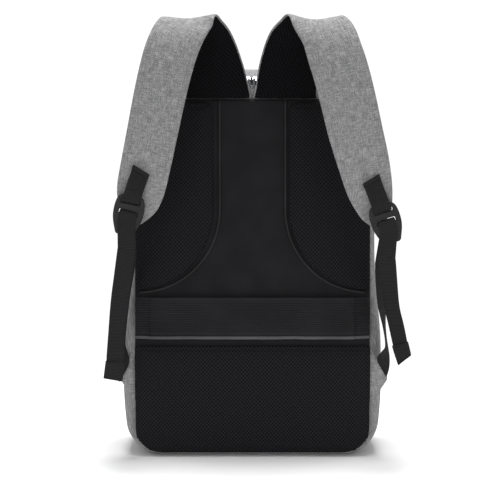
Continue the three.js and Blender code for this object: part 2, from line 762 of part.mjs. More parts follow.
// The back panel.
const boardShape = roundedRectangle(
  -panelHalf,
  panelBottom,
  panelHalf,
  panelTop,
  panelLowRadius,
  panelHighRadius,
);
addPiece("back_board", plate(boardShape, backY - gap, boardThick), smoothCloth());
addPiece("pad_upper_left", upperPadGeometry(-1, 7.5), mesh());
addPiece("pad_upper_right", upperPadGeometry(1, 4), mesh());
addPiece("piping_upper_left", pipingGeometry(-1), smoothCloth());
addPiece("piping_upper_right", pipingGeometry(1), smoothCloth());
addPiece("luggage_band", sleeveGeometry(), smoothCloth());
const lowerShape = roundedRectangle(-lowerPadHalf, 3.8, lowerPadHalf, lowerPadTop, panelLowRadius, 4);
addPiece("pad_lower", plate(lowerShape, boardFace - gap, padThick, padBevel), mesh());

// The harness on each side.
for (const [side, harness] of Object.entries(sides)) {
  const rows = strapRows(harness.strap);
  const { x, y, z, lean } = harness.buckle;
  addPiece(`strap_${side}_cover`, band(rows, coverOutline), melange());
  addPiece(`strap_${side}_mesh`, band(rows, meshOutline), mesh());
  addPiece(`tab_${side}`, tabGeometry(harness), webbing());
  const buckle = addPiece(`buckle_${side}`, buckleGeometry(), plastic());
  buckle.position.set(x, y, z);
  buckle.rotation.y = THREE.MathUtils.degToRad(lean);
  addPiece(`webbing_${side}`, webbingGeometry(harness), webbing());
  addPiece(`wing_${side}`, wingGeometry(wings[side]), melange());
}

export default backpack;
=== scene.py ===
import math

import bmesh
import bpy
from mathutils import Matrix, Vector, kdtree, noise


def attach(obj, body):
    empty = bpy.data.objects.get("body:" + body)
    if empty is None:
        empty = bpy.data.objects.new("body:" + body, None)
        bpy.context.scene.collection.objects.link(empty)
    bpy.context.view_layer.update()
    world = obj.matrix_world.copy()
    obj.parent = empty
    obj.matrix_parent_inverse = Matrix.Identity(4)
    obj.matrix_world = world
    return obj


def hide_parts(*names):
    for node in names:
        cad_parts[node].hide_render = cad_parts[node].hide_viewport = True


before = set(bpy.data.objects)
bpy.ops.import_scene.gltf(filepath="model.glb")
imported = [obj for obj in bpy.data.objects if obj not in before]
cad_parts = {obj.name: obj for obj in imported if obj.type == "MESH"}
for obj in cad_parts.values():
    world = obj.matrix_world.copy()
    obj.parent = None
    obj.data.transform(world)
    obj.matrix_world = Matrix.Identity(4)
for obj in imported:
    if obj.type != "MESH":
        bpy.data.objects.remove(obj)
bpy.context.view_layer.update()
print("frame loaded:", len(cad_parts), "nodes")

# The camera looks at the harness side from a little above the middle of the bag.
cameraPlan = {"aim": (-9.8, -65, 245), "distance": 1900, "elevation": 4, "lens": 121.9}


def mm(x, y, z):
    return Vector((x, y, z)) / 1000


def addObject(name, data):
    made = bpy.data.objects.new(name, data)
    bpy.context.scene.collection.objects.link(made)
    return made


def setCamera():
    tilt = math.radians(cameraPlan["elevation"])
    away = Vector((0, -math.cos(tilt), math.sin(tilt)))
    data = bpy.data.cameras.new("camera")
    data.lens = cameraPlan["lens"]
    camera = addObject("camera", data)
    camera.location = mm(*cameraPlan["aim"]) + away * cameraPlan["distance"] / 1000
    camera.rotation_euler = (-away).to_track_quat("-Z", "Y").to_euler()
    bpy.context.scene.camera = camera


setCamera()


# Materials
def linear(hexText):
    channels = [int(hexText[i : i + 2], 16) / 255 for i in (1, 3, 5)]
    return [c / 12.92 if c <= 0.04045 else ((c + 0.055) / 1.055) ** 2.4 for c in channels] + [1.0]


def addNode(material, kind, settings=None, links=None):
    node = material.node_tree.nodes.new(kind)
    for key, value in (settings or {}).items():
        setattr(node, key, value)
    for key, value in (links or {}).items():
        socket = node.inputs[key]
        if isinstance(value, bpy.types.NodeSocket):
            material.node_tree.links.new(value, socket)
        else:
            socket.default_value = value
    return node


def newMaterial(name, values):
    material = bpy.data.materials.new(name)
    material.use_nodes = True
    shader = material.node_tree.nodes["Principled BSDF"]
    for key, value in values.items():
        shader.inputs[key].default_value = value
    return material, shader


def colourStops(ramp, stops):
    while len(ramp.elements) < len(stops):
        ramp.elements.new(0.5)
    for element, (position, colour) in zip(ramp.elements, stops):
        element.position = position
        element.color = linear(colour) if isinstance(colour, str) else (colour, colour, colour, 1)


def coordinates(material, source):
    if source == "cloth":
        return addNode(material, "ShaderNodeUVMap", {"uv_map": "cloth"}).outputs["UV"]
    return addNode(material, "ShaderNodeTexCoord").outputs["Object"]


def scaled(material, vector, scale):
    links = {"Vector": vector, "Scale": scale}
    return addNode(material, "ShaderNodeMapping", {"vector_type": "POINT"}, links).outputs["Vector"]


def noiseTone(material, vector, scale, detail, settings=None, rough=0.5):
    links = {"Vector": vector, "Scale": scale, "Detail": detail, "Roughness": rough}
    return addNode(material, "ShaderNodeTexNoise", settings, links).outputs["Fac"]


def maths(material, operation, *values):
    return addNode(material, "ShaderNodeMath", {"operation": operation}, dict(enumerate(values))).outputs[0]


def axisOf(material, vector, axis):
    return addNode(material, "ShaderNodeSeparateXYZ", {}, {"Vector": vector}).outputs[axis]


def ramped(material, value, stops):
    ramp = addNode(material, "ShaderNodeValToRGB", {}, {"Fac": value})
    colourStops(ramp.color_ramp, stops)
    return ramp.outputs["Color"]


def paint(material, shader, colour):
    material.node_tree.links.new(colour, shader.inputs["Base Color"])


def emboss(material, shader, height, strength, distance):
    links = {"Height": height, "Strength": strength, "Distance": distance}
    bump = addNode(material, "ShaderNodeBump", {}, links)
    material.node_tree.links.new(bump.outputs["Normal"], shader.inputs["Normal"])


# Melange: a plain weave of 600 denier polyester in light and dark grey yarns, dyed before weaving.
# It gives the eye a linen-like speckle of short streaks both ways. The real yarns are 0.5 mm
# apart, and they are drawn 1 mm apart so that the speckle shows.
def makeMelange(name, dark, light, middle):
    yarn = {"pitch": 0.0010, "slub": 0.009, "relief": 0.00035, "blotches": 120.0, "uneven": 0.2}
    material, shader = newMaterial(name, {"Roughness": 0.92, "Specular IOR Level": 0.18})
    cloth = coordinates(material, "cloth")
    fine = 1 / yarn["pitch"]
    long = 1 / yarn["slub"]
    flat = {"noise_dimensions": "2D"}
    warp = noiseTone(material, scaled(material, cloth, (fine, long, 1)), 1.0, 1.5, flat, 0.6)
    weft = noiseTone(material, scaled(material, cloth, (long, fine, 1)), 1.0, 1.5, flat, 0.6)
    links = {"Vector": scaled(material, cloth, (fine, fine, 1)), "Scale": 1.0}
    over = addNode(material, "ShaderNodeTexChecker", {}, links).outputs["Fac"]
    woven = addNode(material, "ShaderNodeMix", {"data_type": "FLOAT"}, {0: over, 2: warp, 3: weft}).outputs[0]
    blotch = noiseTone(material, cloth, yarn["blotches"], 3.0, flat, 0.6)
    tone = maths(material, "MULTIPLY_ADD", blotch, yarn["uneven"], woven)
    paint(material, shader, ramped(material, tone, [(0.42, dark), (0.6, middle), (0.8, light)]))
    emboss(material, shader, woven, 0.5, yarn["relief"])
    return material


# Air mesh: warp-knitted polyester spacer cloth with open cells. Its cells give the eye rows of
# small dark diamonds, 3 mm from one to the next.
def makeAirMesh(name, source, holeColour, yarnColour):
    cell = {"across": 0.0042, "along": 0.0046, "relief": 0.0009}
    material, shader = newMaterial(name, {"Roughness": 0.95, "Specular IOR Level": 0.06})
    across = 2 * math.pi / cell["across"]
    along = 2 * math.pi / cell["along"]
    flat = source == "cloth"
    turns = (across, along, 1) if flat else (across, 1, along)
    place = scaled(material, coordinates(material, source), turns)
    waves = [maths(material, "COSINE", axisOf(material, place, axis)) for axis in ("X", "Y" if flat else "Z")]
    cells = maths(material, "MULTIPLY", *waves)
    paint(material, shader, ramped(material, cells, [(0.12, yarnColour), (0.5, holeColour)]))
    emboss(material, shader, ramped(material, cells, [(0.0, 1.0), (0.55, 0.0)]), 0.8, cell["relief"])
    return material


# Nylon or polyester cloth in plain weave, calendered smooth. It gives the eye an even, nearly
# matt dark face with a fine grain and slow, faint changes of tone.
def makeSmoothCloth(name, colour, roughness, specular, grain):
    wear = {"blotches": 30.0, "deepest": 0.86, "relief": 0.0004}
    material, shader = newMaterial(name, {"Roughness": roughness, "Specular IOR Level": specular})
    place = coordinates(material, "object")
    channels = [int(int(colour[i : i + 2], 16) * wear["deepest"]) for i in (1, 3, 5)]
    deep = "#%02x%02x%02x" % tuple(channels)
    tone = noiseTone(material, place, wear["blotches"], 4.0)
    paint(material, shader, ramped(material, tone, [(0.35, deep), (0.65, colour)]))
    emboss(material, shader, noiseTone(material, place, 1 / grain, 2.0), 0.35, wear["relief"])
    return material


# Webbing: polyester tape woven flat. Its picks give the eye fine ribs across the tape, and its
# warp gives rows along it. Real picks are 0.9 mm apart, and they are drawn 1.6 mm apart.
def makeWebbing(name, low, high):
    weave = {"pick": 0.0016, "warp": 0.0025, "relief": 0.0005, "wave": 0.9}
    material, shader = newMaterial(name, {"Roughness": 0.85, "Specular IOR Level": 0.12})
    turns = (2 * math.pi / weave["warp"], 2 * math.pi / weave["pick"], 1)
    place = scaled(material, coordinates(material, "cloth"), turns)
    across = maths(material, "SINE", axisOf(material, place, "X"))
    shifted = maths(material, "MULTIPLY_ADD", across, weave["wave"], axisOf(material, place, "Y"))
    ribs = maths(material, "SINE", shifted)
    paint(material, shader, ramped(material, ribs, [(0.0, low), (0.9, high)]))
    emboss(material, shader, ribs, 0.6, weave["relief"])
    return material


# Acetal or nylon, injection moulded in a spark-eroded tool: a fine matt grain, soft bright edges.
def makeMoulded(name, colour, roughness, grain):
    values = {"Base Color": linear(colour), "Roughness": roughness, "IOR": 1.48}
    values["Specular IOR Level"] = 0.35
    material, shader = newMaterial(name, values)
    speckle = noiseTone(material, coordinates(material, "object"), 1 / grain, 3.0)
    emboss(material, shader, speckle, 0.25, 0.0002)
    return material


# Zinc alloy, die cast and nickel plated: a grey shine with a slightly uneven polish.
def makePlated(name, colour):
    material, shader = newMaterial(name, {"Base Color": linear(colour), "Metallic": 1.0})
    polish = noiseTone(material, coordinates(material, "object"), 900.0, 2.0)
    span = {"Value": polish, "To Min": 0.2, "To Max": 0.38}
    rough = addNode(material, "ShaderNodeMapRange", {}, span)
    material.node_tree.links.new(rough.outputs["Result"], shader.inputs["Roughness"])
    return material


melange = makeMelange("melange_polyester_woven", "#6a6a6c", "#a6a6a6", "#848485")
# The straps' air mesh is the pads' black mesh drawn darker: its own black plus painted shade for the straps'
# undersides.
strapMeshShaded = makeAirMesh("air_mesh_strap_painted_shade", "cloth", "#060607", "#131315")
padMesh = makeAirMesh("air_mesh_knitted_pad", "object", "#101012", "#222224")
panelCloth = makeSmoothCloth("nylon_calendered_panel", "#1e1e20", 0.8, 0.12, 0.0011)
bandCloth = makeSmoothCloth("nylon_calendered_band", "#212123", 0.75, 0.15, 0.0011)
# The hem's light grey is a painted highlight: the band's own dark cloth, lit along its folded lower edge.
hemHighlightCloth = makeSmoothCloth("nylon_hem_painted_highlight", "#4c4c4e", 0.6, 0.3, 0.0009)
pipingCloth = makeSmoothCloth("nylon_piping_cover", "#29292b", 0.7, 0.15, 0.0009)
zipCloth = makeSmoothCloth("polyester_zip_tape", "#1a1a1b", 0.8, 0.2, 0.0008)
harnessWeb = makeWebbing("polyester_webbing_woven", "#1b1b1c", "#333335")
acetal = makeMoulded("acetal_moulded", "#121214", 0.5, 0.0005)
coilNylon = makeMoulded("nylon_zip_coil", "#161617", 0.45, 0.0004)
nickel = makePlated("zinc_nickel_plated", "#7d7e81")
greyThread = makeSmoothCloth("polyester_thread_grey", "#858586", 0.7, 0.3, 0.0003)
blackThread = makeSmoothCloth("polyester_thread_black", "#0f0f10", 0.7, 0.1, 0.0003)
print("materials made")


# Shared ways of making a mesh
def clamped(value):
    return min(1, max(0, value))


def shift(bm, vector):
    bmesh.ops.translate(bm, verts=bm.verts[:], vec=vector)


def turn(bm, degrees, axis):
    bmesh.ops.rotate(bm, verts=bm.verts[:], matrix=Matrix.Rotation(math.radians(degrees), 3, axis))


def startRing(bm, points):
    ring = [bm.verts.new(point) for point in points]
    for a, b in zip(ring, ring[1:] + ring[:1]):
        bm.edges.new((a, b))
    return ring


def ringEdges(bm, ring):
    return [bm.edges.get((a, b)) for a, b in zip(ring, ring[1:] + ring[:1])]


def nextRing(bm, ring, points):
    made = bmesh.ops.extrude_edge_only(bm, edges=ringEdges(bm, ring))["geom"]
    fresh = {item for item in made if isinstance(item, bmesh.types.BMVert)}
    following = []
    for vert, point in zip(ring, points):
        twin = next(e.other_vert(vert) for e in vert.link_edges if e.other_vert(vert) in fresh)
        twin.co = point
        following.append(twin)
    return following


# Lays the cloth's map straight on faces that are cut flat from it.
def mapFlat(bm, faces):
    cloth = bm.loops.layers.uv["cloth"]
    for face in faces:
        for corner in face.loops:
            corner[cloth].uv = (corner.vert.co.x, corner.vert.co.z)


# Extrudes a ring of edges from outline to outline, and lays the cloth's own map on it in metres.
def loft(rings, caps=(True, True)):
    bm = bmesh.new()
    cloth = bm.loops.layers.uv.new("cloth")
    count = len(rings[0])
    place = {}
    ring = startRing(bm, rings[0])
    first = ring
    along = 0
    for number, points in enumerate(rings):
        if number:
            steps = [(p - q).length for p, q in zip(points, rings[number - 1])]
            along += sum(steps) / count
            ring = nextRing(bm, ring, points)
        across = 0
        girth = sum((points[k] - points[k - 1]).length for k in range(count))
        for k, vert in enumerate(ring):
            across += (points[k] - points[k - 1]).length if k else 0
            place[vert] = (across, along, k, girth)
    for face in bm.faces:
        wraps = {place[vert][2] for vert in face.verts} == {0, count - 1}
        for corner in face.loops:
            across, far, k, girth = place[corner.vert]
            corner[cloth].uv = (girth if wraps and k == 0 else across, far)
    for wanted, end in zip(caps, (first, ring)):
        if wanted:
            mapFlat(bm, bmesh.ops.contextual_create(bm, geom=ringEdges(bm, end))["faces"])
    bmesh.ops.recalc_face_normals(bm, faces=bm.faces[:])
    return bm


def makePiece(bm, name, material, stands=(), levels=0, sharp=None):
    mesh = bpy.data.meshes.new(name)
    bm.to_mesh(mesh)
    bm.free()
    mesh.shade_smooth()
    if sharp:
        mesh.set_sharp_from_angle(angle=math.radians(sharp))
    mesh.materials.append(material)
    piece = addObject(name, mesh)
    if levels:
        smooth = piece.modifiers.new("smooth", "SUBSURF")
        smooth.levels = levels
        smooth.render_levels = levels
    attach(piece, "root")
    if stands:
        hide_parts(*stands)
    return piece


# Rows of a table with smooth rows between them, every column on a Catmull-Rom curve.
def smoothRows(rows, perGap):
    last = len(rows) - 1
    made = []
    for i in range(last):
        near = [rows[max(i - 1, 0)], rows[i], rows[i + 1], rows[min(i + 2, last)]]
        for k in range(perGap):
            t = k / perGap
            row = []
            for a, b, c, d in zip(*near):
                square = 2 * a - 5 * b + 4 * c - d
                cube = 3 * b - a - 3 * c + d
                row.append(0.5 * (2 * b + (c - a) * t + square * t * t + cube * t * t * t))
            made.append(row)
    made.append(list(rows[last]))
    return made


# Frames along a line: point, across, out (the side away from the bag), for every row. A row's
# skew is how far its width may cross the line at a slant, from 0 to 1.
def frames(points, acrosses, skews=None, alongs=None):
    made = []
    for i, (point, across) in enumerate(zip(points, acrosses)):
        before = points[max(i - 1, 0)]
        after = points[min(i + 1, len(points) - 1)]
        along = alongs[i] if alongs and alongs[i] else (after - before).normalized()
        skew = skews[i] if skews else 0
        across = (across - along * across.dot(along) * (1 - skew)).normalized()
        made.append((point, across, along.cross(across).normalized()))
    return made


def section(place, outline):
    point, across, out = place
    return [point + (across * u + out * v) / 1000 for u, v in outline]


# Lock stitches along a line of points with the way out of the cloth at each, sizes in mm.
def sewLine(bm, line, pitch=3.6, length=2.7, width=0.55):
    travelled = 0
    following = pitch / 2000
    for (a, outA), (b, outB) in zip(line, line[1:]):
        span = (b - a).length
        while span > 0 and following <= travelled + span:
            share = (following - travelled) / span
            along = (b - a).normalized()
            out = outA.lerp(outB, share).normalized()
            side = along.cross(out).normalized()
            out = side.cross(along)
            facing = Matrix((along, side, out)).transposed().to_4x4()
            size = Matrix.Diagonal((length / 2000, width / 2000, width / 2600, 1))
            place = Matrix.Translation(a.lerp(b, share)) @ facing @ size
            bmesh.ops.create_uvsphere(bm, u_segments=6, v_segments=4, radius=1, matrix=place)
            following += pitch / 1000
        travelled += span


def cornerArc(x, z, radius, start, end, steps=8):
    made = []
    for i in range(steps + 1):
        angle = math.radians(start + (end - start) * i / steps)
        made.append((x + radius * math.cos(angle), z + radius * math.sin(angle)))
    return made


def roundedOutline(left, bottom, right, top, low, high=None, steps=8):
    high = low if high is None else high
    return (
        cornerArc(right - low, bottom + low, low, -90, 0, steps)
        + cornerArc(right - high, top - high, high, 0, 90, steps)
        + cornerArc(left + high, top - high, high, 90, 180, steps)
        + cornerArc(left + low, bottom + low, low, 180, 270, steps)
    )


# A plate of even thickness from flat outlines, the first its edge and the others its holes.
def plateFrom(outlines, thick, ease):
    data = bpy.data.curves.new("outline", "CURVE")
    data.dimensions = "2D"
    data.fill_mode = "BOTH"
    data.extrude = thick / 2000 - ease / 1000
    data.bevel_depth = ease / 1000
    data.bevel_resolution = 2
    data.offset = -ease / 1000
    for outline in outlines:
        spline = data.splines.new("POLY")
        spline.points.add(len(outline) - 1)
        spline.use_cyclic_u = True
        for point, (u, v) in zip(spline.points, outline):
            point.co = (u / 1000, v / 1000, 0, 1)
    drawn = bpy.data.objects.new("outline", data)
    mesh = bpy.data.meshes.new_from_object(drawn)
    bm = bmesh.new()
    bm.from_mesh(mesh)
    bmesh.ops.remove_doubles(bm, verts=bm.verts[:], dist=1e-6)
    turn(bm, 90, "X")
    bmesh.ops.recalc_face_normals(bm, faces=bm.faces[:])
    bpy.data.objects.remove(drawn)
    bpy.data.curves.remove(data)
    bpy.data.meshes.remove(mesh)
    return bm


# The bag's body
body = {
    "slotRear": -60,
    "slotFront": -52,
    "slotDepth": 2.7,
    "zipEnd": 330,
    "wall": 2.4,
    "dent": 1.1,  # how far the cloth wanders in and out of its even shape
    "folds": (13, 34),  # how many to the metre, the broad ones and the small ones
    "bulge": 1.5,  # how far the front swells out
    "seamY": (-44, 47),
    "seamDepth": 0.9,
    "cornerStart": 380,  # where the upper corners begin, and the middle they turn about
    "cornerMiddle": 367,
    "flatHalf": 84,  # half the level part of the top
}
sideProfile = [(0, 145), (65, 151), (110, 151), (145, 150), (180, 146.5), (225, 143.5)]
sideProfile += [(300, 142.5), (460, 138.5)]
# y, inset, bottom, top, radius of the low corners, radius of the high corners
bodySections = [
    (-65, 8, 1.6, 420, 34, 46),
    (-62.5, 5.5, 0.6, 425, 37, 48),
    (-56, 3.2, 0, 432.5, 39, 50),
    (-46, 1.4, 0, 439.5, 40, 52),
    (-28, 0.4, 0, 445, 41, 54),
    (0, 0, 0, 447, 41, 54),
    (28, 0.8, 0, 444, 41, 54),
    (46, 3.5, 0, 436, 40, 52),
    (57, 9, 3, 425, 37, 48),
    (62.5, 18, 10, 409, 31, 42),
    (65, 34, 25, 382, 26, 36),
]


def readTable(rows, at, column):
    for a, b in zip(rows, rows[1:]):
        if at <= b[0]:
            share = max(0, (at - a[0]) / (b[0] - a[0]))
            return a[column] + (b[column] - a[column]) * share
    return rows[-1][column]


smoothSides = smoothRows(sideProfile, 6)
smoothSections = smoothRows(bodySections, 3)


def halfWidth(inset, z):
    return readTable(smoothSides, z, 1) - inset


# One outline of the body at a depth, from the middle of its bottom round to the same place.
def bodyOutline(y, inward=0):
    rows = smoothSections
    inset, bottom, top, low, high = [readTable(rows, y, column) for column in range(1, 6)]
    inset += inward
    bottom += inward
    top -= inward
    low = max(2, low - inward)
    high = max(2, high - inward)
    lowX = halfWidth(inset, bottom + low) - low
    highX = halfWidth(inset, top - high) - high
    right = [(lowX * k / 6, bottom) for k in range(6)]
    right += cornerArc(lowX, bottom + low, low, -90, 0, 8)
    lowEnd = bottom + low
    highEnd = top - high
    for k in range(1, 16):
        z = lowEnd + (highEnd - lowEnd) * k / 16
        right.append((halfWidth(inset, z), z))
    right += cornerArc(highX, highEnd, high, 0, 90, 10)
    right += [(highX * (1 - k / 7), top) for k in range(1, 7)]
    left = [(-x, z) for x, z in reversed(right[1:])]
    return right + [(0, top)] + left


def bodyRing(y, inward=0, deep=0):
    points = []
    for x, z in bodyOutline(y, inward):
        sink = deep * clamped((z - body["zipEnd"] + 2) / 3)
        if sink:
            outward = Vector((x, 0, z - body["cornerMiddle"])).normalized()
            if z < body["cornerStart"]:
                outward = Vector((math.copysign(1, x), 0, 0))
            elif abs(x) < body["flatHalf"]:
                outward = Vector((0, 0, 1))
            x -= outward.x * sink
            z -= outward.z * sink
        points.append(mm(x, y, z))
    return points


def makeBody():
    turnedIn = [point + mm(0, 3, 0) for point in bodyRing(-64.9, 10)]
    rings = [turnedIn, bodyRing(-65, 10), bodyRing(-65, 0)]
    # y of each ring, and how deep the slot for the zip is there
    slot = body["slotDepth"]
    plan = [(-64, 0), (-62.5, 0), (-60.2, 0), (-59.9, slot), (-57.5, slot), (-54.5, slot)]
    plan += [(-52.1, slot), (-51.8, 0), (-49, 0), (-46, 0), (-44, 0), (-42, 0)]
    plan += [(y, 0) for y in (-36, -29, -21, -13, -5, 3, 11, 19, 27, 35, 41, 45, 47, 49)]
    plan += [(y, 0) for y in (52, 55, 57.5, 60, 62, 63.5, 64.5, 65)]
    for y, deep in plan:
        rings.append(bodyRing(y, 0, deep))
    front = rings[-1]
    middle = mm(0, 65, 205)
    for share in (0.86, 0.68, 0.5, 0.32, 0.14):
        rings.append([middle + (point - middle) * share for point in front])
    bm = loft(rings, (False, True))
    bm.normal_update()
    broad, small = body["folds"]
    moves = {}
    for vert in bm.verts:
        x, y, z = vert.co * 1000
        if y < -61 or (-61 < y < -51 and z > body["zipEnd"] - 4):
            continue
        wander = noise.noise(vert.co * broad) * 0.8
        wander += noise.noise(vert.co * small + Vector((7, 3, 1))) * 0.35
        hold = min(1, z / 30)
        sink = -body["dent"] * wander * hold
        for seam in body["seamY"]:
            sink -= body["seamDepth"] * math.exp(-(((y - seam) / 1.3) ** 2)) * hold
        if y > 60:
            sink += body["bulge"] * math.sin(math.pi * clamped(z / 400)) * max(0, 1 - abs(x) / 130)
        moves[vert] = vert.normal * sink / 1000
    for vert, move in moves.items():
        vert.co += move
        vert.co.z = max(0, vert.co.z)
    bm.normal_update()
    mapFlat(bm, [face for face in bm.faces if face.calc_center_median().y > 0.059])
    piece = makePiece(bm, "body_shell", melange, ("bag_shell",), levels=1)
    walls = piece.modifiers.new("walls", "SOLIDIFY")
    walls.thickness = body["wall"] / 1000
    walls.offset = -1
    return piece


makeBody()
print("body made")


# The zip round the rear edge
zipPlan = {
    "middle": -56,
    "face": ((-57.6, 0.9), (-56, 1.0), (-54.4, 0.9)),  # the tape under the coil: y and its depth
    "edgeDepth": 0.4,
    "backDepth": 2.1,
    "toothPitch": 1.9,
    "toothSize": (0.62, 1.7, 0.75),
    "topSlope": 0.97,  # how the body falls away under the teeth on top, and at the corners
    "cornerSlope": 0.35,
}


def hoopPath(y, inward, lowest):
    outline = [p for p in bodyOutline(y, inward) if p[1] > lowest + 1]
    x = halfWidth(readTable(smoothSections, y, 1) + inward, lowest)
    return [(x, lowest)] + outline + [(-x, lowest)]


def makeZip():
    rear = body["slotRear"] + 0.4
    front = body["slotFront"] - 0.4
    lowest = body["zipEnd"] + 0.4
    lines = []
    outer = zipPlan["edgeDepth"]
    inner = zipPlan["backDepth"]
    edges = [(rear, outer), *zipPlan["face"], (front, outer), (front, inner), (rear, inner)]
    for y, inward in edges:
        lines.append([mm(x, y, z) for x, z in hoopPath(y, inward, lowest)])
    rings = [[line[i] for line in lines] for i in range(len(lines[0]))]
    makePiece(loft(rings), "zip_tape_woven", zipCloth, ("zip_tape",), sharp=35)
    bm = bmesh.new()
    middle = zipPlan["middle"]
    path = [mm(x, middle, z) for x, z in hoopPath(middle, 0.35, lowest + 3)]
    size = Matrix.Diagonal([*(half / 1000 for half in zipPlan["toothSize"]), 1])
    travelled = 0
    following = 0
    for a, b in zip(path, path[1:]):
        span = (b - a).length
        while following <= travelled + span:
            point = a.lerp(b, (following - travelled) / span)
            along = (b - a).normalized()
            onTop = point.z > 0.425 and abs(point.x) < 0.09
            slope = zipPlan["topSlope"] if onTop else zipPlan["cornerSlope"]
            raised = clamped((point.z * 1000 - body["cornerStart"]) / 50)
            side = Vector((0, 1, 0)) + Vector((0, 0, slope)) * raised
            side = (side - along * side.dot(along)).normalized()
            facing = Matrix((along, side, along.cross(side))).transposed().to_4x4()
            place = Matrix.Translation(point) @ facing @ size
            bmesh.ops.create_uvsphere(bm, u_segments=6, v_segments=4, radius=1, matrix=place)
            following += zipPlan["toothPitch"] / 1000
        travelled += span
    makePiece(bm, "zip_teeth", coilNylon, ("zip_coil",))


makeZip()

# The two sliders meet at the middle of the top. A pull hangs from each over the rim.
slider = {
    "slope": 44,
    "y": -56,
    "z": 432.5,
    "halfLong": 4.7,
    "halfWide": 3.7,
    "thick": 1.5,
    "lift": 2.15,
    "bridge": (2.2, 4.6, 2.0),
    "pullWide": 2.8,
    "pullLong": 13.5,
    "pullThick": 1.2,
    "pullY": -61.6,
    "pullZ": 434,
    "pullSwing": 22,  # degrees that a pull leans out over the rim
}
# Across the bag: a slider's middle and the top of its pull. Then the pull's lean in degrees.
sliderSpots = {"left": (-6.7, -4.2, 6.5), "right": (4.3, 1.8, -3)}


def makeSliders():
    long = slider["halfLong"]
    wide = slider["halfWide"]
    for side, (x, pullX, lean) in sliderSpots.items():
        foot = roundedOutline(-long, -wide, long, wide, 2.4)
        bm = plateFrom([foot], slider["thick"], 0.45)
        turn(bm, -90, "X")
        shift(bm, mm(0, 0, slider["lift"]))
        place = Matrix.Translation(mm(pullX - x, 0.3, 3.6)) @ Matrix.Diagonal([*mm(*slider["bridge"]), 1])
        bridge = bmesh.ops.create_cube(bm, size=1, matrix=place)["verts"]
        edges = list({edge for vert in bridge for edge in vert.link_edges})
        bmesh.ops.bevel(
            bm, geom=edges, offset=0.0005, segments=3, profile=0.5, affect="EDGES", material=-1
        )
        turn(bm, slider["slope"], "X")
        shift(bm, mm(x, slider["y"], slider["z"]))
        makePiece(bm, f"slider_{side}", nickel, (f"zip_slider_{side}",), sharp=40)
        half = slider["pullWide"] / 2
        tip = -slider["pullLong"]
        edge = roundedOutline(-half, tip, half, 0, 1.2)
        hole = roundedOutline(-0.5, tip + 1.2, 0.5, tip + 4.2, 0.45)
        pull = plateFrom([edge, hole], slider["pullThick"], 0.3)
        turn(pull, -lean, "Y")
        turn(pull, -slider["pullSwing"], "X")
        shift(pull, mm(pullX, slider["pullY"], slider["pullZ"]))
        makePiece(pull, f"pull_{side}", nickel, (f"zip_pull_{side}",), sharp=40)


makeSliders()
print("zip made")

# The back panel
panel = {
    "half": 135.3,
    "bottom": 2.8,
    "top": 411,
    "low": 30,
    "high": 44,
    "face": -69.2,
    "crown": 0.9,  # how far the channel stands out
    "crownFrom": 190,  # above this height
    "crownHalf": 40,
    "cell": 7,
    "thick": 3.5,
}


# A flat grid in X and Z whose corner cells are drawn in to round corners.
def roundedGrid(left, bottom, right, top, low, high, step):
    bm = bmesh.new()
    across = round((right - left) / step)
    up = round((top - bottom) / step)
    bmesh.ops.create_grid(bm, x_segments=across, y_segments=up, size=0.5)
    for vert in bm.verts:
        x = left + (vert.co.x + 0.5) * (right - left)
        z = bottom + (vert.co.y + 0.5) * (top - bottom)
        upper = z > (bottom + top) / 2
        radius = high if upper else low
        cornerX = right - radius if x > 0 else left + radius
        cornerZ = top - radius if upper else bottom + radius
        a = (x - cornerX) / radius * (1 if x > 0 else -1)
        b = (z - cornerZ) / radius * (1 if upper else -1)
        if a > 0 and b > 0:
            draw = max(a, b) / math.hypot(a, b)
            x = cornerX + (x - cornerX) * draw
            z = cornerZ + (z - cornerZ) * draw
        vert.co = mm(x, 0, z)
    return bm


def makePanel():
    half = panel["half"]
    radii = (panel["low"], panel["high"])
    bm = roundedGrid(-half, panel["bottom"], half, panel["top"], *radii, panel["cell"])
    for vert in bm.verts:
        x, _, z = vert.co * 1000
        puff = 0
        if z > panel["crownFrom"]:
            puff = max(0, 1 - (abs(x) / panel["crownHalf"]) ** 2) * panel["crown"]
        puff += 0.3 * noise.noise(vert.co * 22)
        vert.co.y = (panel["face"] - puff) / 1000
    bm.normal_update()
    bmesh.ops.solidify(bm, geom=bm.faces[:], thickness=panel["thick"] / 1000)
    bmesh.ops.recalc_face_normals(bm, faces=bm.faces[:])
    piece = makePiece(bm, "back_panel", panelCloth, ("back_board",), levels=1)
    return piece


makePanel()

# The pads of air mesh
pads = {
    "rear": -69.7,
    "thick": 5.6,
    "voxel": 3.6,
    "pressure": 4.0,
    "cap": 2.6,  # how far a point may move while the pad swells
    "edge": 4.5,  # from the pad's edge to its sewn line
    "sewDepth": 1.3,
    "sewWidth": 1.7,
    "wave": 0.35,
    "frames": 20,
}
upperPad = {
    "outer": 134.3,
    "innerLeft": 45,
    "innerRight": 41.5,
    "top": 407,
    "corner": 42,
    "innerCorner": 8,
    "sweepX": 130.3,
    "sweepZ": 285,
    "drop": 91.5,
}
lowerPad = {"half": 136.5, "bottom": 3.8, "top": 129, "low": 30, "high": 5}


def upperOutline(sign, inner):
    outer = upperPad["outer"]
    outline = [(outer, upperPad["sweepZ"] - upperPad["drop"] + k * 12) for k in range(14)]
    corner = upperPad["corner"]
    outline += cornerArc(outer - corner, upperPad["top"] - corner, corner, 0, 90, 10)
    small = upperPad["innerCorner"]
    cornerZ = upperPad["top"] - small
    outline += cornerArc(inner + small, cornerZ, small, 90, 180, 4)
    for k in range(1, 9):
        outline.append((inner, cornerZ - k * (cornerZ - upperPad["sweepZ"]) / 9))
    wide = upperPad["sweepX"] - inner
    for k in range(19):
        angle = math.radians(180 + 5 * k)
        x = upperPad["sweepX"] + wide * math.cos(angle)
        outline.append((x, upperPad["sweepZ"] + upperPad["drop"] * math.sin(angle)))
    return [(sign * x, z) for x, z in outline]


